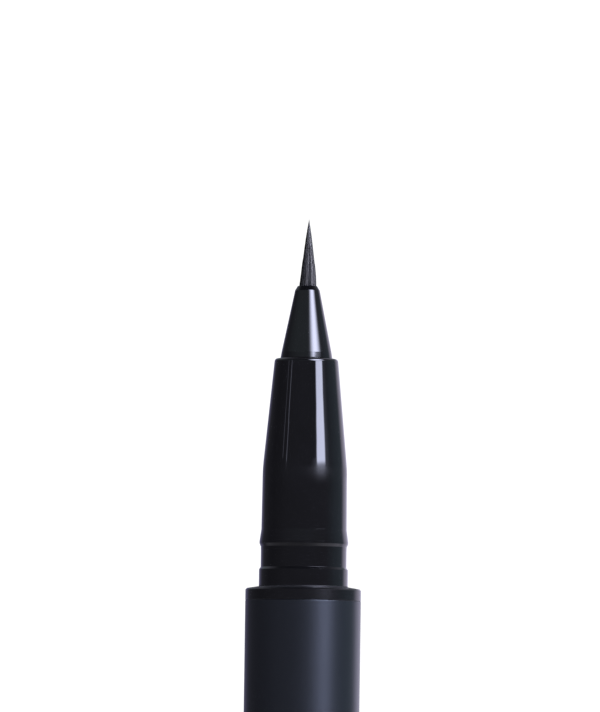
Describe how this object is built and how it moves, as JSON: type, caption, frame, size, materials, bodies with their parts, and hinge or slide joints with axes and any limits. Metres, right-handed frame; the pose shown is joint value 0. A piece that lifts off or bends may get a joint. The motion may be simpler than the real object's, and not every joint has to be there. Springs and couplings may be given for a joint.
{
  "type": "brush pen",
  "caption": "Slim black liquid-ink brush pen with a fine tapered brush tip, glossy tapering front section, matt round barrel and a round cap posted on its tail.",
  "frame": {"origin": "centre of the flat closed end of the posted cap, which is what the pen stands on", "axes": "+Z along the pen's axis from the cap's closed end to the point of the brush; X and Y across the pen, which is round"},
  "size_m": [0.0116, 0.0116, 0.1643],
  "materials": {
    "matte_black": "soft-touch matt black",
    "gloss_black": "moulded, polished black",
    "brush_fibre": "dark grey satin bristle",
    "ferrule_metal": "crimped ring",
    "white_plastic": "natural moulded",
    "core_fibre": "bonded fibre rod",
    "collector_grey": "moulded, fine fins",
    "tank_clear": "milky moulded",
    "seal_rubber": "smooth",
    "ball_steel": "ground balls",
    "spring_steel": "drawn wire"
  },
  "bodies": {
    "pen": {"barrel": "matte_black", "front_section": "gloss_black", "tip_nozzle": "gloss_black", "brush_root": "brush_fibre", "brush_ferrule": "ferrule_metal", "brush_holder": "white_plastic", "relay_core": "core_fibre", "collector": "collector_grey", "section_seal_ring": "seal_rubber", "tank_bung": "white_plastic", "tank_seal_ring": "seal_rubber", "ink_tank": "tank_clear", "tail_plug": "gloss_black"},
    "brush": {"brush_tip": "brush_fibre"},
    "cap": {"cap_shell": "matte_black", "cap_crown": "gloss_black", "inner_cap_spring": "spring_steel"},
    "inner_cap": {"inner_cap": "white_plastic"},
    "ball_1": {"mixing_ball_1": "ball_steel"},
    "ball_2": {"mixing_ball_2": "ball_steel"}
  },
  "joints": [
    {"name": "cap_pull_off", "type": "slide", "parent": "pen", "child": "cap", "axis": [0, 0, -1], "range_m": [0, 0.025]},
    {"name": "inner_cap_press", "type": "slide", "parent": "cap", "child": "inner_cap", "axis": [0, 0, -1], "range_m": [0, 0.0015], "stiffness_N_per_m": 400, "springref_m": -0.002, "deforming": ["inner_cap_spring"]},
    {"name": "brush_flex", "type": "hinge", "parent": "pen", "child": "brush", "pos_m": [0, 0, 0.1579], "axis": [0, 1, 0], "range_deg": [-25, 25], "stiffness_Nm_per_rad": 0.0005},
    {"name": "ball_1_roll", "type": "slide", "parent": "pen", "child": "ball_1", "axis": [0, 0, 1], "range_m": [0, 0.0615]},
    {"name": "ball_2_roll", "type": "slide", "parent": "pen", "child": "ball_2", "axis": [0, 0, 1], "range_m": [0, 0.0615]}
  ]
}
